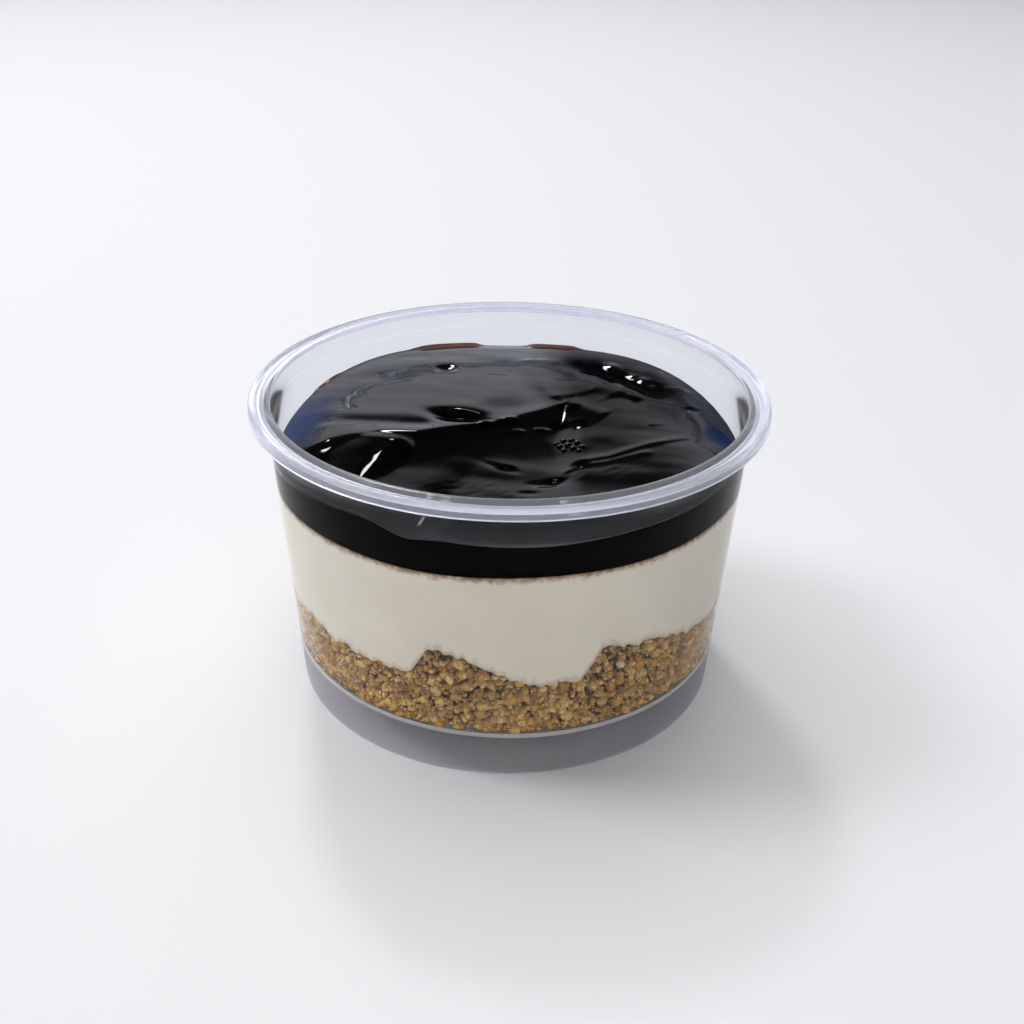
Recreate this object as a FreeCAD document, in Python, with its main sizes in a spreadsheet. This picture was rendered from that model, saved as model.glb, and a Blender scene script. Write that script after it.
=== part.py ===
"""Dessert cup: a moulded clear cup that holds a biscuit base, a cream layer and a dark berry topping.

Millimetres, +Z up. The origin is the centre of the foot ring, on the surface that the cup stands on.
+Y points to the back of the cup. Angles round the cup start at the front (-Y) and grow to the right (+X).
"""
import FreeCAD, Part
import math
import os
import Sketcher

Vector = FreeCAD.Vector

os.makedirs("parts", exist_ok=True)
doc = FreeCAD.newDocument("dessert_cup")

# ---------------------------------------------------------------------------------------------------------
# Driving dimensions
# ---------------------------------------------------------------------------------------------------------

DIMENSIONS = [
    # the moulded cup
    ("rim_diameter", 95.0, "outside of the sealing rim"),
    ("cup_height", 57.0, "foot to the top of the rim"),
    ("rim_width", 4.0, "mouth to the outside of the rim"),
    ("wall_thickness", 0.9, "tapered wall and foot skirt"),
    ("wall_draft", 4.0, "taper of the wall, in degrees from upright"),
    ("collar_depth", 4.0, "top of the rim down to the stacking ledge"),
    ("ledge_width", 0.15, "stacking ledge where the straight collar meets the tapered wall"),
    ("floor_height", 9.4, "foot to the top of the raised floor"),
    ("floor_thickness", 0.9, "raised floor"),
    ("flange_thickness", 1.25, "flat part of the rim"),
    ("lip_depth", 2.2, "top of the rim down to the edge of the turned-down lip"),
    ("lip_thickness", 1.1, "turned-down lip"),
    ("channel_inset", 1.9, "outside of the rim to the middle of the sealing channel"),
    ("channel_width", 1.2, "sealing channel at its top"),
    ("channel_depth", 0.45, "sealing channel"),
    ("dimple_diameter", 9.0, "dimple round the moulding gate, under the floor"),
    ("dimple_depth", 0.35, "dimple round the moulding gate"),
    ("gate_diameter", 1.8, "pip that the moulding gate leaves"),
    ("rim_rounding", 0.75, "outer top edge of the rim"),
    ("mouth_rounding", 0.45, "inner top edge of the rim"),
    ("lip_rounding", 0.3, "lower edges of the lip"),
    ("floor_rounding", 1.6, "inside corner between floor and wall"),
    ("recess_rounding", 0.9, "corner under the floor"),
    ("foot_rounding", 0.25, "edges of the foot ring"),
    # the layers
    ("biscuit_depth", 10.2, "floor up to the low parts of the biscuit crumb"),
    ("biscuit_crown", 1.4, "rise of the crumb towards the middle"),
    ("heap_height", 6.4, "highest heap of crumb against the wall"),
    ("topping_depth", 5.2, "cream up to the topping's edge, mean"),
    ("headspace", 9.5, "topping's edge up to the top of the rim, mean"),
    ("cream_tilt", 0.7, "rise of the cream from the left wall to the right wall"),
    ("cream_ripple", 0.25, "unevenness of the cream"),
    ("topping_sag", 1.5, "front and back of the topping's edge over its sides"),
    ("topping_wave", 1.1, "waviness of the topping's edge"),
    ("topping_dome", 3.0, "plateau of the topping over its edge, mean"),
]

sizes = doc.addObject("Spreadsheet::Sheet", "sizes")
for row, (alias, value, meaning) in enumerate(DIMENSIONS, start=1):
    sizes.set(f"A{row}", meaning)
    sizes.set(f"B{row}", str(value))
    sizes.setAlias(f"B{row}", alias)
doc.recompute()


def size(alias):
    """Value of a driving dimension."""
    return float(getattr(sizes, alias))


# ---------------------------------------------------------------------------------------------------------
# The moulded cup: one body, revolved and grooved round its axis
# ---------------------------------------------------------------------------------------------------------

# Radii and heights of the cup's section, as expressions on the sheet.
WALL = "sizes.wall_thickness"
TOP = "sizes.cup_height"
LEDGE = "(sizes.cup_height - sizes.collar_depth)"
RIM_R = "(sizes.rim_diameter / 2)"
LIP_R = f"({RIM_R} - sizes.lip_thickness)"
CHANNEL_R = f"({RIM_R} - sizes.channel_inset)"
MOUTH_R = f"({RIM_R} - sizes.rim_width)"
SHOULDER_R = f"({MOUTH_R} - sizes.ledge_width + {WALL})"
FOOT_R = f"({SHOULDER_R} - {LEDGE} * tan(sizes.wall_draft * 1deg))"
FLANGE = "(sizes.cup_height - sizes.flange_thickness)"
LIP_EDGE = "(sizes.cup_height - sizes.lip_depth)"
CHANNEL_BED = "(sizes.cup_height - sizes.channel_depth)"
FLOOR = "sizes.floor_height"
CEILING = "(sizes.floor_height - sizes.floor_thickness)"
ABOVE = "(sizes.cup_height + 1)"


def wall_radius(height, inset):
    """Outside radius of the tapered wall at a height, less an inset, as an expression."""
    return f"({FOOT_R} + {height} * tan(sizes.wall_draft * 1deg) - {inset})"


def section(body, name, corners):
    """A closed sketch in the body's XZ plane, with each corner held at its radius and height."""
    sketch = body.newObject("Sketcher::SketchObject", name)
    planes = {plane.Role: plane for plane in body.Origin.OriginFeatures}
    sketch.AttachmentSupport = [(planes["XZ_Plane"], "")]
    sketch.MapMode = "FlatFace"
    points = [Vector(sizes.evalExpression(r), sizes.evalExpression(z), 0) for r, z in corners]
    for start, end in zip(points, points[1:] + points[:1]):
        sketch.addGeometry(Part.LineSegment(start, end), False)
    for line in range(len(points)):
        sketch.addConstraint(Sketcher.Constraint("Coincident", line, 2, (line + 1) % len(points), 1))
    for line, (radius, height) in enumerate(corners):
        hold(sketch, "DistanceX", line, radius, points[line].x)
        hold(sketch, "DistanceY", line, height, points[line].y)
    return sketch


def hold(sketch, direction, line, expression, value):
    """Hold the start of a line at a distance from the origin, or on the axis if that is zero."""
    axis = {"DistanceX": -2, "DistanceY": -1}[direction]
    if expression == "0":
        sketch.addConstraint(Sketcher.Constraint("PointOnObject", line, 1, axis))
        return
    index = sketch.addConstraint(Sketcher.Constraint(direction, -1, 1, line, 1, value))
    sketch.setExpression(f"Constraints[{index}]", expression)


def turned(body, kind, name, corners):
    """A Revolution or Groove of a section through the full turn round the cup's axis."""
    sketch = section(body, f"{name}_section", corners)
    feature = body.newObject(f"PartDesign::{kind}", name)
    feature.Profile = sketch
    feature.ReferenceAxis = (sketch, ["V_Axis"])
    feature.Angle = 360
    doc.recompute()
    return feature


def rounded(body, name, rounding, rings):
    """A Fillet on the round edges at the given radii and heights."""
    wanted = [(sizes.evalExpression(r), sizes.evalExpression(z)) for r, z in rings]
    base = body.Tip
    found = []
    for number, edge in enumerate(base.Shape.Edges, start=1):
        if not isinstance(edge.Curve, Part.Circle):
            continue
        ring = (edge.Curve.Radius, edge.Curve.Center.z)
        if any(math.dist(ring, place) < 1e-4 for place in wanted):
            found.append(f"Edge{number}")
    if len(found) != len(rings):
        raise ValueError(f"{name}: {len(found)} edges found for {len(rings)} rings")
    fillet = body.newObject("PartDesign::Fillet", name)
    fillet.Base = (base, found)
    fillet.setExpression("Radius", f"sizes.{rounding}")
    doc.recompute()
    return fillet


cup = doc.addObject("PartDesign::Body", "cup")
cup.Label = "cup"

# Tapered outside, straight above the stacking ledge.
turned(cup, "Revolution", "outside", [
    ("0", "0"),
    (FOOT_R, "0"),
    (SHOULDER_R, LEDGE),
    (f"({MOUTH_R} + {WALL})", FLANGE),
    ("0", FLANGE),
])

# Sealing rim: a flat flange with a turned-down lip.
turned(cup, "Revolution", "rim", [
    ("0", TOP),
    (RIM_R, TOP),
    (RIM_R, LIP_EDGE),
    (LIP_R, LIP_EDGE),
    (LIP_R, FLANGE),
    ("0", FLANGE),
])

# Inside of the cup, from the floor to the mouth.
turned(cup, "Groove", "cavity", [
    ("0", FLOOR),
    (wall_radius(FLOOR, WALL), FLOOR),
    (f"({SHOULDER_R} - {WALL})", LEDGE),
    (MOUTH_R, LEDGE),
    (MOUTH_R, ABOVE),
    ("0", ABOVE),
])

# Open recess under the raised floor, inside the foot skirt.
turned(cup, "Groove", "foot_recess", [
    ("0", "0"),
    (f"({FOOT_R} - {WALL})", "0"),
    (wall_radius(CEILING, WALL), CEILING),
    ("0", CEILING),
])

# Sealing channel in the top of the rim.
turned(cup, "Groove", "channel", [
    (f"({CHANNEL_R} - sizes.channel_width / 2)", TOP),
    (f"({CHANNEL_R} - sizes.channel_width / 4)", CHANNEL_BED),
    (f"({CHANNEL_R} + sizes.channel_width / 4)", CHANNEL_BED),
    (f"({CHANNEL_R} + sizes.channel_width / 2)", TOP),
])

# Moulding gate: a shallow dimple under the middle of the floor, round a pip that ends flush with it.
turned(cup, "Groove", "gate_dimple", [
    ("(sizes.gate_diameter / 2)", "0"),
    ("(sizes.gate_diameter / 2)", f"({CEILING} + sizes.dimple_depth)"),
    ("(sizes.dimple_diameter / 2 - sizes.dimple_depth)", f"({CEILING} + sizes.dimple_depth)"),
    ("(sizes.dimple_diameter / 2)", CEILING),
    ("(sizes.dimple_diameter / 2)", "0"),
])

rounded(cup, "rim_edge", "rim_rounding", [(RIM_R, TOP)])
rounded(cup, "mouth_edge", "mouth_rounding", [(MOUTH_R, TOP)])
rounded(cup, "lip_edges", "lip_rounding", [(RIM_R, LIP_EDGE), (LIP_R, LIP_EDGE)])
rounded(cup, "floor_corner", "floor_rounding", [(wall_radius(FLOOR, WALL), FLOOR)])
rounded(cup, "recess_corner", "recess_rounding", [(wall_radius(CEILING, WALL), CEILING)])
rounded(cup, "foot_edges", "foot_rounding", [(FOOT_R, "0"), (f"({FOOT_R} - {WALL})", "0")])

# The room inside the cup: a plug that ends halfway through the wall and floor, less the cup.
HALF_WALL = f"{WALL} / 2"
plug = doc.addObject("PartDesign::Body", "plug")
PLUG_FOOT = f"({CEILING} + sizes.floor_thickness / 2)"
turned(plug, "Revolution", "plug_turning", [
    ("0", PLUG_FOOT),
    (wall_radius(PLUG_FOOT, HALF_WALL), PLUG_FOOT),
    (f"({SHOULDER_R} - {HALF_WALL})", LEDGE),
    (f"({MOUTH_R} + {HALF_WALL})", TOP),
    ("0", TOP),
])
inside = doc.addObject("Part::Cut", "inside")
inside.Base = plug
inside.Tool = cup
doc.recompute()

# ---------------------------------------------------------------------------------------------------------
# Level surfaces of the layers
# ---------------------------------------------------------------------------------------------------------

GRID_STEP = 2.0     # spacing of the heights that a level surface passes through


def smooth(value, low, high):
    """0 below low, 1 above high, with a soft rise between."""
    share = min(1.0, max(0.0, (value - low) / (high - low)))
    return share * share * (3 - 2 * share)


def bearing(x, y):
    """Angle round the cup in degrees: 0 at the front, 90 at the right, 180 at the back."""
    return math.degrees(math.atan2(x, -y)) % 360


MOUTH = sizes.evalExpression(MOUTH_R)
BISCUIT_LEVEL = size("floor_height") + size("biscuit_depth")
TOPPING_LEVEL = size("cup_height") - size("headspace")
CREAM_LEVEL = TOPPING_LEVEL - size("topping_depth")


def outwards(x, y):
    """Distance from the axis as a share of the mouth's radius, at most 1."""
    return min(1.0, math.hypot(x, y) / MOUTH)


# Heaps of crumb against the wall: bearings where each starts, crests and ends, and its share of heap_height.
# A heap rises steeply on the side where its crest is near.
HEAPS = [
    (-24.5, -18.0, 10.0, 1.00),
    (17.5, 23.0, 68.0, 0.90),
    (66.0, 84.0, 121.0, 0.70),
    (128.0, 150.0, 176.0, 0.80),
    (184.0, 193.0, 222.0, 0.55),
    (226.0, 272.0, 297.0, 0.70),
    (294.0, 304.0, 316.0, 0.20),
]


def biscuit_top(x, y):
    """Biscuit crumb: gently crowned, with heaps that fade out towards the middle."""
    share = outwards(x, y)
    height = BISCUIT_LEVEL + size("biscuit_crown") * (1 - share * share)
    for start, crest, end, portion in HEAPS:
        along = (bearing(x, y) - start) % 360
        bank = smooth(along, 0, crest - start) * (1 - smooth(along, crest - start, end - start))
        height += size("heap_height") * portion * bank * smooth(share, 0.25, 0.85)
    return height


def cream_top(x, y):
    """Cream: almost level, a little higher on the right, with a faint ripple."""
    tilt = size("cream_tilt") * x / (2 * MOUTH)
    ripple = size("cream_ripple") * math.sin(5 * x / MOUTH + 0.6) * math.cos(6 * y / MOUTH)
    return CREAM_LEVEL + tilt + ripple


# Swells of the topping's edge at the wall: bearing and half width in degrees, height in millimetres.
EDGE_SWELLS = [
    (66.0, 16.0, 2.7),
    (326.0, 6.0, 0.5),
    (338.0, 5.0, -1.1),
]

# The topping's crest, with a plateau behind it and a basin in front: points (x, y) as shares of the mouth's
# radius. It falls steeply as far as its peak, and gently beyond.
CREST = [(-1.00, -0.27), (-0.75, -0.17), (-0.38, -0.15), (-0.04, -0.03), (0.24, 0.18)]
EASY_CREST = [(0.24, 0.18), (0.60, -0.08), (1.00, -0.24)]
CREST_ROUNDING = 3.0
STEEP_FALL = 4.5
EASY_FALL = 14.0

# Folds of the topping: two ends (x, y) as shares of the mouth's radius, half width and height in millimetres.
# A negative height is a hollow.
FOLDS = [
    ((-0.30, -0.08), (0.24, 0.20), 4.5, 0.9),       # brow of the crest, up to its peak
    ((-0.46, -0.24), (-0.62, -0.60), 5.5, 1.4),     # lobe at the front left
    ((-0.24, 0.04), (-0.21, 0.03), 4.0, -1.1),      # dimple behind the crest
    ((0.16, 0.67), (0.70, 0.32), 4.0, -1.3),        # trough at the back right
    ((0.22, 0.50), (0.60, 0.22), 3.5, 0.5),         # ridge in front of the trough
    ((0.22, -0.38), (0.80, -0.11), 3.5, 0.4),       # wrinkle at the front right
]


def from_line(x, y, start, end):
    """Distance in millimetres from a line between two points, less than nought on the left of the line."""
    first = Vector(*start, 0) * MOUTH
    run = Vector(*end, 0) * MOUTH - first
    reach = Vector(x, y, 0) - first
    along = min(1.0, max(0.0, reach.dot(run) / run.dot(run)))
    side = 1 if reach.cross(run).z > 0 else -1
    return side * (reach - run * along).Length


def fallen(x, y, path, length):
    """Share of the way down in front of a path: nought behind it, towards 1 in front."""
    front = min((from_line(x, y, start, end) for start, end in zip(path, path[1:])), key=abs)
    reach = (front + math.hypot(front, CREST_ROUNDING)) / 2
    return 1 - math.exp(-reach / length)


def fold(x, y, start, end, width, height):
    """Height of a rounded ridge or hollow that runs from one point to another."""
    return height * math.exp(-((from_line(x, y, start, end) / width) ** 2))


def topping_edge(x, y):
    """Height of the topping's wavy edge at the wall, over its mean."""
    angle = bearing(x, y)
    turn = math.radians(angle)
    height = size("topping_sag") * math.cos(2 * turn) - size("topping_wave") * math.cos(4 * turn)
    for middle, half, rise in EDGE_SWELLS:
        height += rise * math.exp(-(((angle - middle) / half) ** 2))
    return height


def topping_top(x, y):
    """Topping: a plateau that falls from a crest to a basin, and the folds that a spoon left."""
    share = outwards(x, y)
    edge = topping_edge(x, y)
    plateau = edge * share ** 5 + size("topping_dome") * (1 - share ** 5)
    basin = edge * share ** 3
    steep = fallen(x, y, CREST, STEEP_FALL)
    easy = fallen(x, y, EASY_CREST, EASY_FALL)
    drop = steep + (easy - steep) * smooth(x / MOUTH, 0.16, 0.32)
    calm = 1 - smooth(share, 0.85, 1.0)
    folds = sum(fold(x, y, *parts) for parts in FOLDS)
    return TOPPING_LEVEL + plateau + (basin - plateau) * drop + calm * folds


def block_below(name, top):
    """A square block, wider than the cup, from under the floor up to a level surface."""
    half = size("rim_diameter") / 2
    steps = math.ceil(2 * half / GRID_STEP)
    line = [-half + 2 * half * i / steps for i in range(steps + 1)]
    surface = Part.BSplineSurface()
    surface.interpolate([[Vector(x, y, top(x, y)) for y in line] for x in line])
    lid = surface.toShape()
    block = doc.addObject("Part::Feature", name)
    block.Shape = lid.extrude(Vector(0, 0, -size("cup_height")))
    return block


biscuit_block = block_below("biscuit_block", biscuit_top)
cream_block = block_below("cream_block", cream_top)
topping_block = block_below("topping_block", topping_top)

# ---------------------------------------------------------------------------------------------------------
# The layers: the room inside the cup, cut face to face at the level surfaces
# ---------------------------------------------------------------------------------------------------------


def kept_below(name, block):
    """The room inside the cup up to a level surface."""
    common = doc.addObject("Part::Common", name)
    common.Base = inside
    common.Tool = block
    return common


def layer(name, full, under):
    """What fills the cup up to one level, less what lies under it."""
    cut = doc.addObject("Part::Cut", name)
    cut.Label = name
    cut.Base = full
    cut.Tool = under
    return cut


biscuit_base = kept_below("biscuit_base", biscuit_block)
biscuit_base.Label = "biscuit_base"
filled_to_cream = kept_below("filled_to_cream", cream_block)
filled_to_topping = kept_below("filled_to_topping", topping_block)
cream_layer = layer("cream_layer", filled_to_cream, biscuit_block)
berry_topping = layer("berry_topping", filled_to_topping, cream_block)
doc.recompute()

# ---------------------------------------------------------------------------------------------------------
# Check and write
# ---------------------------------------------------------------------------------------------------------

for item in doc.Objects:
    if "Invalid" in item.State or "Error" in item.State:
        raise ValueError(f"{item.Name} did not build: {item.State}")

for part in (cup, biscuit_base, cream_layer, berry_topping):
    shape = part.Shape
    if shape.isNull() or not shape.isValid() or len(shape.Solids) != 1:
        raise ValueError(f"{part.Label} is not one valid solid")
    print(f"{part.Label}: {shape.Volume / 1000:.2f} cm3, {len(shape.Faces)} faces,"
          f" z {shape.BoundBox.ZMin:.2f} to {shape.BoundBox.ZMax:.2f}")
    shape.exportStep(f"parts/{part.Label}.step")
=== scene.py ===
# %% [markdown]
# # A cheesecake cup, layer by layer
# The real thing is a clear moulded cup that somebody filled in three goes: a spoonful of buttered biscuit
# crumb pressed into the bottom, a thick layer of cream, and a ladle of dark berry sauce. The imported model
# already holds the cup and a plain solid for each layer. This lesson gives the cup its plastic finish and
# replaces each layer by one that looks like food.
#
# The frame comes first, because every size below is read from it.

# %% Load the frame
import math

import bmesh
import bpy
import numpy as np
from mathutils import Matrix, Vector
from mathutils.bvhtree import BVHTree


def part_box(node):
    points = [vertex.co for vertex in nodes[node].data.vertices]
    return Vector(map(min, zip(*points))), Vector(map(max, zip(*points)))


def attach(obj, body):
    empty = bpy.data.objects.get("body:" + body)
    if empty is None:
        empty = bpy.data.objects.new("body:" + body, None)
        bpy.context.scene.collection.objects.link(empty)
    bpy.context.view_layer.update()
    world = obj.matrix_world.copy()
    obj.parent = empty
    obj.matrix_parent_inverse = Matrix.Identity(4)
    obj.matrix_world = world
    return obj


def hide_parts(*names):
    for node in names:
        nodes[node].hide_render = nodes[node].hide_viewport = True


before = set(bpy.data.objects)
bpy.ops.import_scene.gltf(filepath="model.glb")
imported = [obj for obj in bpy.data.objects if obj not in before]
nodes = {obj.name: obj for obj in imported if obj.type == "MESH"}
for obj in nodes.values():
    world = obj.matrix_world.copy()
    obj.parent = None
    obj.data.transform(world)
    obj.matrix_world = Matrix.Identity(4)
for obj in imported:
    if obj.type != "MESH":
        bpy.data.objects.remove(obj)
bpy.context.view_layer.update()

MM = 0.001
print("nodes:", sorted(nodes))


# %% [markdown]
# ## Reading the cup with plumb lines
# A layer that fills a clear cup has to touch its wall, or a gap of air shows. The surest way to know where
# the wall is, is to ask the cup itself. A BVH tree answers the question "what does this ray hit first", so a
# ray from the axis outwards measures the inside of the wall, and a ray straight down measures the top of a
# layer. Places round the cup are given as bearings: 0 at the front, a quarter turn at the right.

# %% Wall radius and layer levels from the frame
trees = {}
for name, node in nodes.items():
    corners = [v.co for v in node.data.vertices]
    trees[name] = BVHTree.FromPolygons(corners, [p.vertices for p in node.data.polygons])

RIM_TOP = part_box("cup")[1].z
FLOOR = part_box("biscuit_base")[0].z


def measured_radius(z):
    """Inside radius of the cup at a height, measured towards the right."""
    return trees["cup"].ray_cast(Vector((0, 0, z)), Vector((1, 0, 0)))[0].x


WALL_FOOT = FLOOR + 2.5 * MM        # above the rounded corner at the floor
WALL_HEAD = RIM_TOP - 5 * MM        # below the stacking ledge
FOOT_RADIUS = measured_radius(WALL_FOOT)
HEAD_RADIUS = measured_radius(WALL_HEAD)
MOUTH = measured_radius(RIM_TOP - 2 * MM)


def wall(z):
    """Inside radius of the tapered wall at any height, in metres."""
    return FOOT_RADIUS + (HEAD_RADIUS - FOOT_RADIUS) * (z - WALL_FOOT) / (WALL_HEAD - WALL_FOOT)


def plumb(node, x, y):
    """Height of the top of a layer at a place, found with a plumb line."""
    return trees[node].ray_cast(Vector((x, y, 2 * RIM_TOP)), Vector((0, 0, -1)))[0].z


def edge_heights(node, bearings, reach):
    """Heights of a layer's top all the way round, at one distance from the axis."""
    return np.array([plumb(node, reach * math.sin(b), -reach * math.cos(b)) for b in bearings])


print(f"mouth radius {MOUTH / MM:.2f} mm, wall {FOOT_RADIUS / MM:.2f} to {HEAD_RADIUS / MM:.2f} mm")


# %% [markdown]
# ## Small helpers
# Every layer is a round solid: a disc of rings and spokes on top, rows down the side, and a disc below. One
# function joins the three, so each layer only has to say how high it is at each place. Soft steps and waves
# are the other two helpers: a sum of a few cosines with mixed directions makes a surface that rolls without
# repeating.

# %% Helpers for shapes
REACH = 0.25 * MM       # how far a filling reaches into the wall of the cup
TURN = 2 * math.pi


def smooth(value, low, high):
    """0 below low, 1 above high, with a soft rise between."""
    share = np.clip((value - low) / (high - low), 0.0, 1.0)
    return share * share * (3.0 - 2.0 * share)


def waves(x, y, length_x, length_y, seed, count=14):
    """A rolling height of about -1 to 1 whose swells are length_x by length_y across."""
    chance = np.random.default_rng(seed)
    total = np.zeros(np.shape(x))
    for heading, start, pitch in zip(chance.uniform(0, math.pi, count), chance.uniform(0, TURN, count),
                                     chance.uniform(0.6, 1.5, count)):
        run = x / length_x * math.cos(heading) + y / length_y * math.sin(heading)
        total += np.cos(TURN * pitch * run + start)
    return total / math.sqrt(count)


def around(table, bearing):
    """Value of an evenly spaced table of heights at any bearing."""
    steps = np.linspace(0, TURN, len(table) + 1)
    return np.interp(np.mod(bearing, TURN), steps, np.append(table, table[0]))


def add_mesh(name, mesh, materials, replaces, sharp):
    """A smooth-shaded piece made of a mesh, riding on the cup's body; edges over sharp degrees stay sharp."""
    mesh.shade_smooth()
    mesh.set_sharp_from_angle(angle=math.radians(sharp))
    for material in materials:
        mesh.materials.append(material)
    piece = bpy.data.objects.new(name, mesh)
    bpy.context.scene.collection.objects.link(piece)
    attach(piece, "root")
    if replaces:
        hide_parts(replaces)
    print(f"{name}: {len(mesh.vertices)} points, {len(mesh.polygons)} faces")
    return piece


def add_piece(name, points, faces, materials, replaces, sharp=40):
    """A piece from arrays of points and faces."""
    mesh = bpy.data.meshes.new(name)
    mesh.from_pydata(np.asarray(points).tolist(), [], faces)
    mesh.validate()
    return add_mesh(name, mesh, materials, replaces, sharp)


def paint(piece, label, values):
    """Store one number for each point of a piece, for its material to read."""
    layer = piece.data.attributes.new(label, "FLOAT", "POINT")
    layer.data.foreach_set("value", np.ascontiguousarray(values, dtype=np.float32))


def round_solid(radius, shares, bearings, top, bottom, rows, foot_rings=12):
    """Points and faces of a closed round solid.

    radius(z) is the outside radius at a height; top and bottom give the height at each (share, bearing);
    rows are the shares of the way down the side at which there is a ring of points.
    """
    spokes = len(bearings)
    foot_shares = np.linspace(1, 0, foot_rings + 1)[:-1]
    high = top(*np.meshgrid(shares, bearings, indexing="ij"))
    low = bottom(*np.meshgrid(foot_shares, bearings, indexing="ij"))
    rings = [(share * radius(heights), heights) for share, heights in zip(shares, high)]
    for row in rows:
        heights = high[-1] + (low[0] - high[-1]) * row
        rings.append((radius(heights), heights))
    rings += [(share * radius(heights), heights) for share, heights in zip(foot_shares, low)]
    points = [np.stack([reach * np.sin(bearings), -reach * np.cos(bearings), heights], axis=1)
              for reach, heights in rings]
    nought = np.zeros(1)
    points.append([[0, 0, top(nought, nought)[0]], [0, 0, bottom(nought, nought)[0]]])
    points = np.concatenate(points)
    here = np.arange(spokes)
    nxt = np.roll(here, -1)
    faces = []
    for ring in range(len(rings) - 1):
        inner = ring * spokes
        outer = inner + spokes
        faces += np.stack([inner + here, outer + here, outer + nxt, inner + nxt], axis=1).tolist()
    last = (len(rings) - 1) * spokes
    top_centre = len(points) - 2
    faces += [(top_centre, int(a), int(b)) for a, b in zip(here, nxt)]
    faces += [(top_centre + 1, int(last + b), int(last + a)) for a, b in zip(here, nxt)]
    return points, faces


# %% [markdown]
# ## Finishes that are shared
# Real food is never one colour. Cream, biscuit and sauce all need the same effect at different scales: a
# soft, uneven change from one tint to another. That is worth a node group, built once and placed in each
# material with its own values. The second group gives fine relief for a Bump node.

# %% Node groups
def node_group(name, inputs, outputs):
    """An empty shader group with its sockets; inputs are (name, type, value)."""
    group = bpy.data.node_groups.new(name, "ShaderNodeTree")
    for label, kind, value in inputs:
        socket = group.interface.new_socket(label, in_out="INPUT", socket_type=kind)
        socket.default_value = value
    for label, kind in outputs:
        group.interface.new_socket(label, in_out="OUTPUT", socket_type=kind)
    return group, group.nodes.new("NodeGroupInput"), group.nodes.new("NodeGroupOutput")


mottle, ins, outs = node_group(
    "mottle",
    [("Tint A", "NodeSocketColor", (1, 1, 1, 1)), ("Tint B", "NodeSocketColor", (0, 0, 0, 1)),
     ("Scale", "NodeSocketFloat", 100.0), ("Low", "NodeSocketFloat", 0.4), ("High", "NodeSocketFloat", 0.6)],
    [("Color", "NodeSocketColor"), ("Mask", "NodeSocketFloat")])
place = mottle.nodes.new("ShaderNodeTexCoord")
clouds = mottle.nodes.new("ShaderNodeTexNoise")
clouds.inputs["Detail"].default_value = 4.0
share = mottle.nodes.new("ShaderNodeMapRange")
blend = mottle.nodes.new("ShaderNodeMix")
blend.data_type = "RGBA"
mottle.links.new(place.outputs["Object"], clouds.inputs["Vector"])
mottle.links.new(ins.outputs["Scale"], clouds.inputs["Scale"])
mottle.links.new(clouds.outputs["Fac"], share.inputs["Value"])
mottle.links.new(ins.outputs["Low"], share.inputs["From Min"])
mottle.links.new(ins.outputs["High"], share.inputs["From Max"])
mottle.links.new(share.outputs[0], blend.inputs["Factor"])
mottle.links.new(ins.outputs["Tint A"], blend.inputs["A"])
mottle.links.new(ins.outputs["Tint B"], blend.inputs["B"])
mottle.links.new(blend.outputs["Result"], outs.inputs["Color"])
mottle.links.new(share.outputs[0], outs.inputs["Mask"])

grain, ins, outs = node_group(
    "grain", [("Scale", "NodeSocketFloat", 1000.0), ("Coarse", "NodeSocketFloat", 0.5)],
    [("Height", "NodeSocketFloat")])
place = grain.nodes.new("ShaderNodeTexCoord")
fine = grain.nodes.new("ShaderNodeTexNoise")
fine.inputs["Detail"].default_value = 3.0
pits = grain.nodes.new("ShaderNodeTexVoronoi")
both = grain.nodes.new("ShaderNodeMix")
for texture in (fine, pits):
    grain.links.new(place.outputs["Object"], texture.inputs["Vector"])
    grain.links.new(ins.outputs["Scale"], texture.inputs["Scale"])
grain.links.new(ins.outputs["Coarse"], both.inputs["Factor"])
grain.links.new(fine.outputs["Fac"], both.inputs["A"])
grain.links.new(pits.outputs["Distance"], both.inputs["B"])
grain.links.new(both.outputs["Result"], outs.inputs["Height"])


def new_material(name):
    """A material with its node tree and its Principled shader."""
    material = bpy.data.materials.new(name)
    material.use_nodes = True
    return material, material.node_tree, material.node_tree.nodes["Principled BSDF"]


def use_group(tree, group, **values):
    """Place a group in a material and set its inputs; underscores in names stand for spaces."""
    node = tree.nodes.new("ShaderNodeGroup")
    node.node_tree = group
    for label, value in values.items():
        node.inputs[label.replace("_", " ")].default_value = value
    return node


def roughen(tree, shader, height, distance, strength=1.0):
    """Feed a height into the shader's normal through a Bump node."""
    bump = tree.nodes.new("ShaderNodeBump")
    bump.inputs["Distance"].default_value = distance
    bump.inputs["Strength"].default_value = strength
    tree.links.new(height, bump.inputs["Height"])
    tree.links.new(bump.outputs["Normal"], shader.inputs["Normal"])


def read_paint(tree, label):
    """Output of an attribute that paint() stored."""
    node = tree.nodes.new("ShaderNodeAttribute")
    node.attribute_name = label
    return node.outputs["Fac"]


def calculated(tree, operation, *values):
    """Output of a Math node; each value is a socket or a number."""
    node = tree.nodes.new("ShaderNodeMath")
    node.operation = operation
    for socket, value in zip(node.inputs, values):
        if isinstance(value, float):
            socket.default_value = value
        else:
            tree.links.new(value, socket)
    return node.outputs[0]


def ranged(tree, value, low, high, out_low=0.0, out_high=1.0):
    """A smooth map of a value from one range to another."""
    node = tree.nodes.new("ShaderNodeMapRange")
    node.interpolation_type = "SMOOTHSTEP"
    for label, number in (("From Min", low), ("From Max", high), ("To Min", out_low), ("To Max", out_high)):
        node.inputs[label].default_value = number
    tree.links.new(value, node.inputs["Value"])
    return node.outputs[0]


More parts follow.
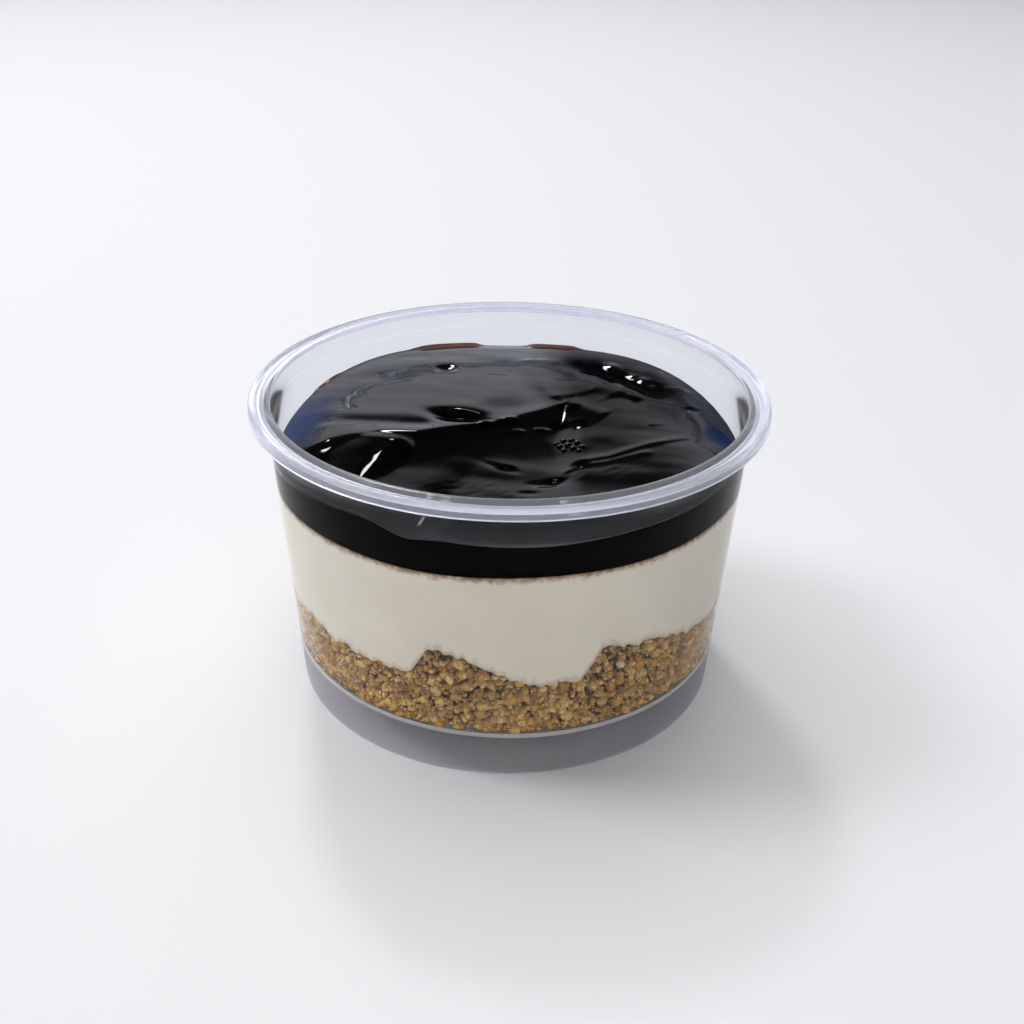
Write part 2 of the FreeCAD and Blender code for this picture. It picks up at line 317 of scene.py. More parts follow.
def tinted(tree, factor, first, second):
    """Mix of two colours, or of a colour socket and a colour, by a factor socket."""
    node = tree.nodes.new("ShaderNodeMix")
    node.data_type = "RGBA"
    tree.links.new(factor, node.inputs["Factor"])
    for label, colour in (("A", first), ("B", second)):
        if isinstance(colour, tuple):
            node.inputs[label].default_value = colour
        else:
            tree.links.new(colour, node.inputs[label])
    return node.outputs["Result"]


print("groups:", [group.name for group in bpy.data.node_groups])


# %% [markdown]
# ## The clear cup
# A moulded cup is a body of revolution, so its whole shape is in half of its section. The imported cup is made
# of flat triangles, and clear plastic shows every one of them as a streak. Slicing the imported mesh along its
# axis gives the section back, and spinning that section in fine steps makes the same cup with a surface
# smooth enough to refract cleanly.
#
# The plastic is polypropylene: clear, but hazier than glass, and milky where it is thick. So the faces of the
# cup get one of five plastics. Light that only throws shadows passes through a plain transparent shader
# instead, because a path tracer finds it hard to send light through a refracting wall.

# %% Section of the cup, spun
SPIN_STEPS = 288
UNDERSIDE = trees["cup"].ray_cast(Vector((20 * MM, 0, 0)), Vector((0, 0, 1)))[0].z
FLOOR_BAND = (UNDERSIDE + 0.1 * MM, FLOOR + 0.2 * MM)       # outside of the wall, level with the raised floor
FLOOR_REACH = wall(UNDERSIDE) - 2 * MM                      # the raised floor, inside its rounded corner
RIM_REACH = MOUTH + 0.2 * MM                                # the rim turns outwards from here
RIM_FOOT = RIM_TOP - 2.4 * MM                               # lowest part of the rim
RIM_SKIN = RIM_TOP - 0.6 * MM                               # the rim's top face
CLEAR, HAZY, MILKY_RIM, MILKY_FLOOR, FOOT_IN_PAINTED_SHADE = range(5)  # the order of the cup's materials


def plastic_at(centre, normal):
    """Which plastic a face of the cup is made of, from the face's place and the way it faces."""
    reach = math.hypot(centre.x, centre.y)
    if centre.z > RIM_SKIN or (reach > RIM_REACH and centre.z > RIM_FOOT):
        return MILKY_RIM
    if reach < FLOOR_REACH:
        return MILKY_FLOOR
    if centre.z < UNDERSIDE:
        return FOOT_IN_PAINTED_SHADE
    if centre.x * normal.x + centre.y * normal.y < 0:       # it faces the axis
        return HAZY
    return MILKY_FLOOR if FLOOR_BAND[0] < centre.z < FLOOR_BAND[1] else CLEAR


def spun_cup(materials):
    """The cup's section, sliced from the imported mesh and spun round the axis."""
    shape = bmesh.new()
    shape.from_mesh(nodes["cup"].data)
    cuts = [((0, 0, 0), (0, 1, 0), True, True), ((0, 0, 0), (1, 0, 0), True, False)]
    cuts += [((0, 0, z), (0, 0, 1), False, False) for z in FLOOR_BAND]
    for place, normal, clear_inner, clear_outer in cuts:
        everything = shape.verts[:] + shape.edges[:] + shape.faces[:]
        bmesh.ops.bisect_plane(shape, geom=everything, dist=1e-6, plane_co=place, plane_no=normal,
                               clear_inner=clear_inner, clear_outer=clear_outer)
    bmesh.ops.remove_doubles(shape, verts=shape.verts, dist=0.02 * MM)
    on_axis = [e for e in shape.edges if all(abs(v.co.x) < 1e-6 for v in e.verts)]
    bmesh.ops.delete(shape, geom=on_axis, context="EDGES")
    print("section points:", len(shape.verts))
    bmesh.ops.spin(shape, geom=shape.verts[:] + shape.edges[:], axis=(0, 0, 1), cent=(0, 0, 0),
                   angle=TURN, steps=SPIN_STEPS, use_merge=True)
    bmesh.ops.remove_doubles(shape, verts=shape.verts, dist=0.002 * MM)
    bmesh.ops.recalc_face_normals(shape, faces=shape.faces)
    mesh = bpy.data.meshes.new("cup_shell")
    shape.to_mesh(mesh)
    shape.free()
    add_mesh("cup_shell", mesh, materials, "cup", 35)
    kinds = [plastic_at(face.center, face.normal) for face in mesh.polygons]
    mesh.polygons.foreach_set("material_index", kinds)


# %% Plastics, and the cup
def either(tree, share, first, second, output):
    """Show the first shader where share is 0 and the second where it is 1."""
    mix = tree.nodes.new("ShaderNodeMixShader")
    for source, socket in zip((share, first.outputs[0], second.outputs[0]), mix.inputs):
        tree.links.new(source, socket)
    tree.links.new(mix.outputs[0], tree.nodes[output].inputs["Surface"])


SHADOW_TINT = (0.94, 0.94, 0.945, 1)        # what is left of a shadow ray after one face


def new_plastic(name, tint, roughness, ior, clearness):
    """One plastic of the cup; what is not clear about it scatters light like milk."""
    material, tree, shader = new_material(name)
    shader.inputs["Base Color"].default_value = tint
    shader.inputs["Roughness"].default_value = roughness
    shader.inputs["IOR"].default_value = ior
    shader.inputs["Transmission Weight"].default_value = clearness
    see_through = tree.nodes.new("ShaderNodeBsdfTransparent")
    see_through.inputs["Color"].default_value = SHADOW_TINT
    path = tree.nodes.new("ShaderNodeLightPath")
    either(tree, path.outputs["Is Shadow Ray"], shader, see_through, "Material Output")
    return material


spun_cup([
    new_plastic("plastic_clear", (0.975, 0.975, 0.985, 1), 0.03, 1.12, 1.0),
    new_plastic("plastic_hazy", (0.71, 0.74, 0.81, 1), 0.20, 1.12, 0.955),
    new_plastic("plastic_rim", (0.80, 0.83, 0.92, 1), 0.18, 1.35, 0.80),
    new_plastic("plastic_floor", (0.92, 0.90, 0.88, 1), 0.25, 1.20, 0.5),
    # The foot's plastic is dark grey-violet: partly its haze, and partly painted shade for the shaded space
    # under the raised floor seen through it.
    new_plastic("plastic_foot", (0.56, 0.545, 0.575, 1), 0.30, 1.20, 0.90),
])


# %% [markdown]
# ## The berry sauce
# A thick sauce keeps the marks of the spoon that spread it. This one has a long crest with a steep front,
# a basin at the front, a trough at the back right, a lens-shaped dimple and a peak where the spoon was lifted.
# Each mark is one term of a height function, so each can be moved or made deeper by itself. Paths and places
# are in millimetres from the cup's axis, to the right and to the back.
#
# A black gloss surface has almost no colour of its own: it shows what it mirrors. So two masks of painted light
# go with the height. One is painted shade on the gloss: how much of the bright surroundings is hidden from a
# place, with some glints painted out and others kept. The other is a painted reflection: where the sauce's
# colour is painted blue for the bluish inside of the wall that it mirrors.

# %% Tools for the relief
def line_frame(x, y, path):
    """For each place: distance to a path, side of it (positive on the left hand) and share of the way along."""
    lengths = [math.dist(a, b) for a, b in zip(path, path[1:])]
    best = np.full(np.shape(x), 1e9)
    side = np.ones(np.shape(x))
    along = np.zeros(np.shape(x))
    done = 0.0
    for (ax, ay), (bx, by), length in zip(path, path[1:], lengths):
        ux, uy = (bx - ax) / length, (by - ay) / length
        run = np.clip((x - ax) * ux + (y - ay) * uy, 0, length)
        gap = np.hypot(x - ax - run * ux, y - ay - run * uy)
        nearer = gap < best
        best = np.where(nearer, gap, best)
        side = np.where(nearer, np.where(ux * (y - ay) - uy * (x - ax) >= 0, 1.0, -1.0), side)
        along = np.where(nearer, (done + run) / sum(lengths), along)
        done += length
    return best, side, along


def ridge(x, y, path, left, right, height, taper=0.12):
    """A ridge (or a hollow, if height is negative) along a path, with a width on each side."""
    gap, side, along = line_frame(x, y, path)
    width = np.where(side > 0, left, right)
    ends = smooth(along, 0.0, taper) * (1 - smooth(along, 1 - taper, 1.0))
    return height * ends * np.exp(-(gap / width) ** 2)


def oval(x, y, centre, across, deep, turn, height, edge=2.0):
    """An oval swell (or dimple) of the given half sizes, turned by degrees; edge sharpens its rim."""
    c, s = math.cos(math.radians(turn)), math.sin(math.radians(turn))
    u = ((x - centre[0]) * c + (y - centre[1]) * s) / across
    v = (-(x - centre[0]) * s + (y - centre[1]) * c) / deep
    return height * np.exp(-(u * u + v * v) ** (edge / 2))


def fall(x, y, path, length, rounding):
    """Share fallen, 0 behind a path and towards 1 in front of it, with the steepest part at the path."""
    gap, side, along = line_frame(x, y, path)
    front = np.where(side < 0, gap, -gap)
    reach = 0.5 * (front + np.sqrt(front ** 2 + rounding ** 2))
    return 1 - np.exp(-reach / length), front, along


# %% Relief of the sauce
SAUCE_LEVEL = 47.5      # mean height of the sauce's edge at the wall, in millimetres
BASIN_LEVEL = 47.9      # floor of the basin at the front
PLATEAU_RISE = 3.0      # how far the middle of the plateau stands above the edge
LIP_RISE = 0.55         # how far the crest stands above the plateau
LOBE_LEVEL = 50.9       # top of the lobe, where it leaves the crest
CREST = [(-44, -12), (-38, -10.5), (-32.5, -7.3), (-23.4, -6.0), (-16.5, -6.4), (-12.6, -4.8),
         (-1.8, -1.1), (5.7, 3.3), (10.4, 8.0)]
TAIL = [(10.4, 8.0), (17, 2.8), (26, -3.5), (37, -8)]
LOBE = [(-21.2, -10.5), (-29.2, -26.0)]


def lobe(x, y):
    """Rounded lobe that runs from the crest to the front left, gentle on its left and steep on its right."""
    start, end = LOBE
    length = math.dist(start, end)
    ux, uy = (end[0] - start[0]) / length, (end[1] - start[1]) / length
    along = (x - start[0]) * ux + (y - start[1]) * uy
    across = (x - start[0]) * -uy + (y - start[1]) * ux
    across -= 0.010 * (along - 6) ** 2
    steep_side = across ** 2 / (6.0 + 0.7 * np.clip(along, 0, 12))
    gentle_side = 0.07 * (np.sqrt(across ** 2 + 1) - 1) + across ** 2 / 160.0
    fallen = np.where(across > 0, steep_side, gentle_side)
    steep_start = 0.12 * (1 - np.exp(-np.maximum(along, 0) / 0.6))
    return LOBE_LEVEL - 0.205 * along - steep_start - fallen - 0.12 * np.maximum(-along, 0) ** 2


def main_forms(x, y, edge):
    """Plateau behind the crest, basin in front of it, and the easy slope of the right half."""
    share = np.hypot(x, y) * MM / MOUTH
    plateau = SAUCE_LEVEL + (edge - SAUCE_LEVEL) * share ** 5 + PLATEAU_RISE * (1 - share ** 5)
    basin = BASIN_LEVEL + (edge - BASIN_LEVEL) * share ** 3
    basin += 0.12 * waves(x, y, 22, 16, 3) * (1 - share ** 4)
    steep, front, along = fall(x, y, CREST, 4.2, 0.7)
    lip = LIP_RISE * np.exp(-np.maximum(-front, 0) / 3.5) * smooth(along, 0.1, 0.5)
    lip *= 1 - smooth(share, 0.88, 1)
    easy, _, _ = fall(x, y, TAIL, 26.0, 6.0)
    right_half = smooth(x, 7.0, 14.0)
    fallen = steep * (1 - right_half) + easy * right_half
    height = plateau + lip + (basin - plateau - lip) * fallen
    over = lobe(x, y) * (1 - share ** 8) + edge * share ** 8 - height
    # Half of (over + |over|) is the lobe where it stands higher; the root makes that a soft step.
    return height + 0.5 * (over + np.sqrt(over ** 2 + 0.16)) * (1 - smooth(share, 0.92, 0.99))


# %% Marks of the spoon
FOLDS = [       # path, width on its left, width on its right, height, and how much of each end fades
    ([(-37, 2.6), (-27.6, -0.6), (-20.1, -2.0), (-12.5, -2.6)], 2.4, 2.0, -0.30),
    ([(3.8, 32), (4.5, 26), (5.6, 20), (7.4, 14.4), (10.6, 8.3)], 6.0, 2.2, 0.38),
    ([(10.4, 8.6), (13.5, 5.6), (18.5, 2.0)], 2.0, 3.0, 0.30),
    ([(11.3, 7.5), (11.6, 2.0), (12.6, -3.0)], 1.8, 0.7, 0.18),
    ([(10.0, 32.0), (20.0, 26.0), (28.0, 16.5), (33.0, 9.0)], 3.4, 3.6, -1.3, 0.3),     # the trough
    ([(9.5, 21.0), (13.5, 19.3), (17.5, 16.8), (26.0, 9.5)], 2.4, 4.5, 0.32, 0.3),
    ([(20.0, 12.0), (26.0, 6.0), (33.0, 2.0)], 3.5, 4.0, -0.25),
    ([(9.5, -16.4), (17.9, -13.7), (25.4, -9.3), (35, -4.8)], 1.0, 0.7, 0.16),
    ([(8.5, -18.0), (17.0, -15.8), (26.0, -11.8)], 0.9, 0.8, 0.12),
    ([(33.5, 19.5), (34.5, 14.0), (36.0, 8.0)], 1.2, 2.4, 0.35),
    ([(25.5, -1.2), (28.5, -0.3), (31.5, 1.3)], 0.6, 0.8, 0.10),
]
DENTS = [       # centre, half sizes, turn in degrees, height, and how sharp its edge is
    ((-9.9, 1.4), 4.6, 2.3, -17, -1.2, 2.6),        # the lens-shaped dimple
    ((-4.9, -0.6), 2.6, 1.0, -24, -0.25),
    ((-12.9, 25.1), 2.0, 1.5, 0, -0.55, 2.6),
    ((24.4, 9.9), 1.2, 0.9, 0, -0.4),
    ((-1.5, -15.2), 2.8, 0.8, -28, -0.25),
    ((6.9, -21.0), 3.2, 1.2, 6, -0.25, 3.0),
    ((3.4, -24.6), 1.8, 0.7, 0, -0.15),
    ((11.0, -8.6), 3.6, 2.8, -30, 0.25),            # a swell over the piece of berry
]
TROUGH_BUMPS = [((21.1, 29.2), 1.7), ((25.0, 24.7), 1.1), ((26.7, 21.6), 1.5), ((28.4, 18.7), 1.0)]
CREST_BUMPS = [(-4.4, -2.2), (0.3, -0.4), (1.5, -3.2), (6.0, -1.8)]


def spoon_marks(x, y):
    """Folds, troughs, dimples, wrinkles and the small bumps that catch the bulb."""
    marks = np.zeros(np.shape(x))
    for fold in FOLDS:
        marks += ridge(x, y, *fold)
    for dent in DENTS:
        marks += oval(x, y, *dent)
    marks += 0.055 * waves(x, y, 18, 9.0, 11) + 0.010 * waves(x, y, 11, 4.0, 12)
    for place, size in TROUGH_BUMPS:
        marks += oval(x, y, place, size, 0.75 * size, -50, 0.15 * size)
    for place in CREST_BUMPS:
        marks += oval(x, y, place, 1.5, 0.75, 15, 0.42)
    wrinkled = oval(x, y, (-7.0, -24.0), 7.0, 3.0, -8, 1.0) + oval(x, y, (15, -19), 9, 3, 10, 0.4)
    return marks + 0.022 * wrinkled * waves(x, y, 2.4, 2.6, 14)


# %% What the sauce mirrors
# Steep little faces that would catch the bulb too strongly: their glints are painted out by taking their gloss
# down.
GLINTS_PAINTED_OUT = [(-0.3, -15.3), (8.0, -19.9), (12.7, -0.8), (12.6, -15.9), (11.4, 5.6), (9.4, 0.0)]


def painted_blue_reflection_mask(x, y):
    """Painted reflection: two places by the wall whose colour is painted blue for the wall's blue inside that
    they mirror; 1 there and 0 elsewhere.
    """
    left = oval(x, y, (-38.5, 3.0), 4.0, 8.5, -12, 1.0, 4.0)
    return left + oval(x, y, (40.0, -3.5), 3.0, 6.0, 10, 1.0, 4.0)


def painted_sky_shade(x, y):
    """Painted shade on the gloss: the share of the bright sky that the crest and the wall hide, much in the
    basin, less on the right half.
    """
    steep, _, _ = fall(x, y, CREST, 1.5, 0.5)
    right_half = smooth(x, 2.0, 14.0)
    in_basin = steep * (0.65 - 0.30 * smooth(x, -12.0, 2.0) + 0.25 * smooth(-x, 24.0, 29.0))
    on_right = 0.18 + 0.20 * smooth(y, -22.0, -10.0) + 0.27 * smooth(y, -8.0, 6.0)
    hidden = in_basin * (1 - right_half) + on_right * right_half
    # Painted shade along the far side of the trough, and painted glints on its bumps, where the gloss is given
    # back.
    hidden += ridge(x, y, [(8.0, 33.0), (20.0, 26.0), (28.0, 16.5), (33.0, 9.0)], 3.5, 3.5, 0.35, 0.2)
    for place, size in TROUGH_BUMPS:
        hidden -= oval(x, y, place, 1.4 * size, size, -50, 0.8, 4.0)
    # A painted dark patch, painted shade inside the lens-shaped dimple, and a painted glint left at one place
    # in it.
    painted_shade_patch = oval(x, y, (-1.2, 7.4), 5.0, 3.0, 0, 0.60, 3.0)
    lens = oval(x, y, (-9.0, 2.4), 5.4, 3.3, -14, 1.0, 6.0)
    lens_glint = oval(x, y, (-10.8, 4.2), 1.3, 1.0, 0, 1.5, 4.0)
    hidden += painted_shade_patch + lens - lens_glint
    for place in GLINTS_PAINTED_OUT:
        hidden += oval(x, y, place, 1.9, 1.4, -10, 1.0, 4.0)
    return np.clip(hidden + 0.5 * painted_blue_reflection_mask(x, y), 0, 0.97)


# %% [markdown]
# ## Laying the sauce in the cup
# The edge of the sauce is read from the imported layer, so the two agree where the sauce meets the wall. Where
# it is pressed against the plastic it has no gloss of its own, because nothing but air makes a wet surface
# shine. So the side gets a second, dull material.

# %% Levels of the sauce
CREAM_LEVEL = 42        # mean height of the cream's edge at the wall, in millimetres
NEAR_WALL = 0.8 * MM    # how far inside the wall the edges are read
SAUCE_SPOKES = 560
sauce_bearings = np.linspace(0, TURN, SAUCE_SPOKES, endpoint=False)
sauce_shares = np.concatenate([np.linspace(0, 0.94, 137)[1:], np.linspace(0.94, 1, 13)[1:]])
sauce_edge = edge_heights("berry_topping", sauce_bearings, wall(SAUCE_LEVEL * MM) - NEAR_WALL)
cream_edge = edge_heights("cream_layer", sauce_bearings, wall(CREAM_LEVEL * MM) - NEAR_WALL)


# Strength of each stretch of film, and the bearings in degrees where it starts, is full, fades and ends.
FILMS = [(0.5, 232, 236, 243, 248), (1.0, 187, 191, 203, 212), (1.0, 158, 163, 172, 178)]


def film(bearing):
    """Where a thin brown film clings to the wall above the sauce, at the back."""
    turn = np.degrees(np.mod(bearing, TURN))
    parts = [strength * smooth(turn, start, full) * (1 - smooth(turn, fading, end))
             for strength, start, full, fading, end in FILMS]
    return sum(parts)


COLLAR_WIDTH = 0.5      # in millimetres


def sauce_top(share, bearing):
    """Top of the sauce, in metres, with the thin collar that clings to the wall."""
    x = share * MOUTH / MM * np.sin(bearing)
    y = -share * MOUTH / MM * np.cos(bearing)
    calm = 1 - smooth(share, 0.88, 1.0)
    height = main_forms(x, y, around(sauce_edge, bearing) / MM) + calm * spoon_marks(x, y)
    collar = 0.10 + 0.08 * np.cos(3 * bearing + 1.0) + 0.6 * film(bearing)
    return (height + collar * np.exp(-(1 - share) * MOUTH / MM / COLLAR_WIDTH)) * MM


def sauce_foot(share, bearing):
    """Underside of the sauce, in the cream."""
    return around(cream_edge, bearing) - 0.3 * MM


# %% Finish of the sauce
SAUCE_BLACK = (0.0012, 0.0010, 0.0013, 1)
# Painted reflection: the blue painted into the sauce's colour by the wall, for the bluish inside of the wall
# that it mirrors.
PAINTED_WALL_REFLECTION_BLUE = (0.014, 0.024, 0.075, 1)
FILM_BROWN = (0.12, 0.045, 0.022, 1)
sauce, sauce_tree, sauce_shader = new_material("berry_sauce")
pressed_sauce, _, pressed_shader = new_material("pressed_sauce")
for shader in (sauce_shader, pressed_shader):
    shader.inputs["Base Color"].default_value = SAUCE_BLACK
    shader.inputs["Roughness"].default_value = 0.6
    shader.inputs["Specular IOR Level"].default_value = 0.0
sauce_shader.inputs["Coat Roughness"].default_value = 0.04
sauce_shader.inputs["Coat IOR"].default_value = 1.45
# The coat's weight is painted: painted shade and glints on the sauce's reflections.
sauce_tree.links.new(read_paint(sauce_tree, "painted_sheen"), sauce_shader.inputs["Coat Weight"])
blue_reflection_paint = tinted(sauce_tree, read_paint(sauce_tree, "blue_reflection_paint"), SAUCE_BLACK, PAINTED_WALL_REFLECTION_BLUE)
thin = tinted(sauce_tree, read_paint(sauce_tree, "thin"), blue_reflection_paint, FILM_BROWN)
sauce_tree.links.new(thin, sauce_shader.inputs["Base Color"])

# %% Sauce piece
SIDE_ROWS = 6
points, faces = round_solid(lambda z: wall(z) + REACH, sauce_shares, sauce_bearings, sauce_top,
                            sauce_foot, np.linspace(0, 1, SIDE_ROWS + 2)[1:-1])
topping = add_piece("sauce_topping", points, faces, [sauce, pressed_sauce], "berry_topping")
pressed = np.zeros(len(faces), dtype=np.int32)
top_rings = len(sauce_shares)
pressed[(top_rings - 1) * SAUCE_SPOKES:(top_rings + SIDE_ROWS) * SAUCE_SPOKES] = 1
topping.data.polygons.foreach_set("material_index", pressed)
x, y = points[:, 0] / MM, points[:, 1] / MM
inward = np.maximum(wall(points[:, 2]) / MM - np.hypot(x, y), 0)      # millimetres from the wall
# How glossy each place is, painted: low where the sky is hidden, as painted shade on the reflections.
paint(topping, "painted_sheen", 1 - painted_sky_shade(x, y))
# Where the sauce's colour is painted blue, as a painted reflection of the wall.
paint(topping, "blue_reflection_paint", painted_blue_reflection_mask(x, y))
paint(topping, "thin", film(np.arctan2(x, -y)) * np.exp(-inward))

# %% A piece of berry that shows through the sauce
DRUPELETS = [       # to the right, to the back and radius
    (8.7, -6.5, 0.62), (10.0, -6.0, 0.70), (11.4, -6.7, 0.74), (9.3, -7.9, 0.72), (10.8, -8.2, 0.80),
    (12.4, -8.2, 0.74), (10.0, -9.5, 0.66), (11.6, -9.8, 0.76), (13.2, -9.9, 0.68), (12.6, -11.0, 0.58)]
surface = BVHTree.FromPolygons([Vector(p) for p in points], faces)
beads = bmesh.new()
for x, y, radius in DRUPELETS:
    level = surface.ray_cast(Vector((x * MM, y * MM, 2 * RIM_TOP)), Vector((0, 0, -1)))[0].z
    place = Matrix.Translation((x * MM, y * MM, level)) @ Matrix.Diagonal((1, 1, 0.55, 1))
    bmesh.ops.create_icosphere(beads, subdivisions=4, radius=radius * MM, matrix=place)
bead_points = [v.co[:] for v in beads.verts]
bead_faces = [[v.index for v in f.verts] for f in beads.faces]
beads.free()
berry = add_piece("berry_piece", bead_points, bead_faces, [sauce], None, 180)
paint(berry, "painted_sheen", np.full(len(bead_points), 0.8))


# %% [markdown]
# ## The cream
# The cream is a plain round solid too. What makes it look real is its edges: the sauce stains it in a thin
# brown, uneven line, and it turns darker and browner towards the crumb. Both are painted as distances, in
# millimetres, from the sauce above and from the crumb below, and the material turns them into colour.

# %% Cream piece
CRUMB_LEVEL = 20        # mean height of the crumb's edge at the wall, in millimetres
CREAM_SPOKES = 640
CREAM_ROWS = 48
cream_bearings = np.linspace(0, TURN, CREAM_SPOKES, endpoint=False)
cream_rim = edge_heights("cream_layer", cream_bearings, wall(CREAM_LEVEL * MM) - NEAR_WALL)
crumb_rim = edge_heights("biscuit_base", cream_bearings, wall(CRUMB_LEVEL * MM) - NEAR_WALL)
round_wall = np.sin(cream_bearings) * 38, np.cos(cream_bearings) * 38       # in millimetres
crumb_rim += (0.30 * waves(*round_wall, 5.0, 5.0, 21) + 0.25 * waves(*round_wall, 2.0, 2.0, 22)) * MM

cream, tree, shader = new_material("cream")
shader.inputs["Roughness"].default_value = 0.5
shader.inputs["Specular IOR Level"].default_value = 0.1
soft = use_group(tree, mottle, Tint_A=(0.81, 0.76, 0.655, 1), Tint_B=(0.78, 0.73, 0.62, 1), Scale=120.0,
                 Low=0.35, High=0.65)
jagged = use_group(tree, mottle, Scale=900.0, Low=0.3, High=0.7)
below = calculated(tree, "MULTIPLY_ADD", jagged.outputs["Mask"], 0.9, read_paint(tree, "below_sauce"))
stained = tinted(tree, ranged(tree, below, 0.6, 2.2), (0.25, 0.13, 0.055, 1), soft.outputs["Color"])
dark = tinted(tree, ranged(tree, below, 0.15, 0.75), (0.012, 0.008, 0.007, 1), stained)
# Darker and browner towards the crumb below.
above = calculated(tree, "MULTIPLY_ADD", jagged.outputs["Mask"], 1.2, read_paint(tree, "above_crumb"))
ready = tinted(tree, ranged(tree, above, 0.2, 2.2), (0.56, 0.47, 0.35, 1), dark)
tree.links.new(ready, shader.inputs["Base Color"])

points, faces = round_solid(
    lambda z: wall(z) + REACH - 0.05 * MM, np.linspace(0, 1, 13)[1:], cream_bearings,
    lambda share, bearing: around(cream_rim, bearing), lambda share, bearing: around(crumb_rim, bearing),
    np.linspace(0, 1, CREAM_ROWS)[1:-1])
cream_fill = add_piece("cream_fill", points, faces, [cream], "cream_layer")
point_bearing = np.arctan2(points[:, 0], -points[:, 1])
paint(cream_fill, "below_sauce", (around(cream_rim, point_bearing) - points[:, 2]) / MM)
paint(cream_fill, "above_crumb", (points[:, 2] - around(crumb_rim, point_bearing)) / MM)


# %% [markdown]
# ## The biscuit crumb
# Crumb is a heap of broken biscuit. Only the pieces that lie against the plastic show, so a plain core fills
# the middle and real crumbs are laid in a shell round it. A crumb is a ball cut by random planes, which is
# how brittle things break, and it is pressed flat where it meets the wall. All crumbs of one kind are joined
# in one mesh.

# %% Biscuit core
biscuit, tree, shader = new_material("biscuit_core")
shader.inputs["Roughness"].default_value = 0.85
shader.inputs["Specular IOR Level"].default_value = 0.1
# The core is coloured darker than any crumb: painted shade for the gaps between the crumbs in front of it.
core_colour_in_painted_shade = use_group(tree, mottle, Tint_A=(0.30, 0.165, 0.06, 1), Tint_B=(0.13, 0.065, 0.02, 1), Scale=900.0)
tree.links.new(core_colour_in_painted_shade.outputs["Color"], shader.inputs["Base Color"])
lumps = use_group(tree, grain, Scale=700.0, Coarse=0.7)
roughen(tree, shader, lumps.outputs["Height"], 0.6 * MM)

CORE_DEPTH = 1.8 * MM   # how far the core stands behind the wall
core_bearings = np.linspace(0, TURN, 320, endpoint=False)
points, faces = round_solid(
    lambda z: wall(z) - CORE_DEPTH, np.linspace(0, 1, 13)[1:], core_bearings,
    lambda share, bearing: around(crumb_rim, bearing) + 0.3 * MM,
    lambda share, bearing: FLOOR - 0.2 * MM + 0 * bearing, np.linspace(0, 1, 20)[1:-1])
add_piece("biscuit_core", points, faces, [biscuit], "biscuit_base")


# %% Crumbs
def unit_ball(detail):
    """Points and triangles of an icosphere of radius 1."""
    ball = bmesh.new()
    bmesh.ops.create_icosphere(ball, subdivisions=detail, radius=1.0)
    ball.verts.ensure_lookup_table()
    points = np.array([v.co[:] for v in ball.verts])
    triangles = np.array([[v.index for v in f.verts] for f in ball.faces])
    ball.free()
    return points / np.linalg.norm(points, axis=1)[:, None], triangles


def broken(chance, unit, count, planes=9):
    """Balls cut by random planes: an array of count lots of points."""
    normals = chance.normal(size=(count, planes, 3))
    normals /= np.linalg.norm(normals, axis=2)[:, :, None]
    cuts = chance.uniform(0.60, 1.0, (count, 1, planes))
    lean = np.einsum("vk,cpk->cvp", unit, normals)
    limit = np.where(lean > 0.05, cuts / np.maximum(lean, 0.05), 9.0).min(axis=2)
    stretch = chance.uniform(0.75, 1.25, (count, 1, 3))
    return unit[None] * np.minimum(limit, 1.1)[:, :, None] * stretch


EVEN_STEPS = (0.7548777, 0.5698403)     # steps that spread points evenly over a square, without a grid


def crumb_cloud(name, count, smallest, largest, detail, seed, deepest):
    """Joined crumbs pressed against the wall, spread evenly; sizes and the greatest depth in millimetres."""
    chance = np.random.default_rng(seed)
    unit, triangles = unit_ball(detail)
    number = np.arange(count) + 100 * seed
    bearing = TURN * np.mod(number * EVEN_STEPS[0] + chance.normal(0, 0.002, count), 1)
    upwards = np.mod(number * EVEN_STEPS[1] + chance.normal(0, 0.02, count), 1) ** 1.2
    height = FLOOR + (around(crumb_rim, bearing) + 0.35 * MM - FLOOR) * upwards
    half = (smallest + (largest - smallest) * chance.uniform(0, 1, count) ** 2) * MM / 2
    reach = wall(height) + REACH - 0.88 * half - chance.uniform(0.0, deepest, count) * MM
    centre = np.stack([reach * np.sin(bearing), -reach * np.cos(bearing), height], axis=1)
    points = (broken(chance, unit, count) * half[:, None, None] + centre[:, None, :]).reshape(-1, 3)
    pull = np.minimum(1.0, (wall(points[:, 2]) + REACH) / np.hypot(points[:, 0], points[:, 1]))
    points[:, :2] *= pull[:, None]
    points[:, 2] = np.maximum(points[:, 2], FLOOR - 0.25 * MM)
    faces = (triangles[None] + (np.arange(count) * len(unit))[:, None, None]).reshape(-1, 3)
    piece = add_piece(name, points, faces.tolist(), [crumb], "biscuit_base", 25)
    paint(piece, "tone", np.repeat(chance.uniform(0, 1, count), len(unit)))
    # Distance behind the wall, which the crumb's material turns into painted shade.
    paint(piece, "depth", (wall(points[:, 2]) - np.hypot(points[:, 0], points[:, 1])) / MM)


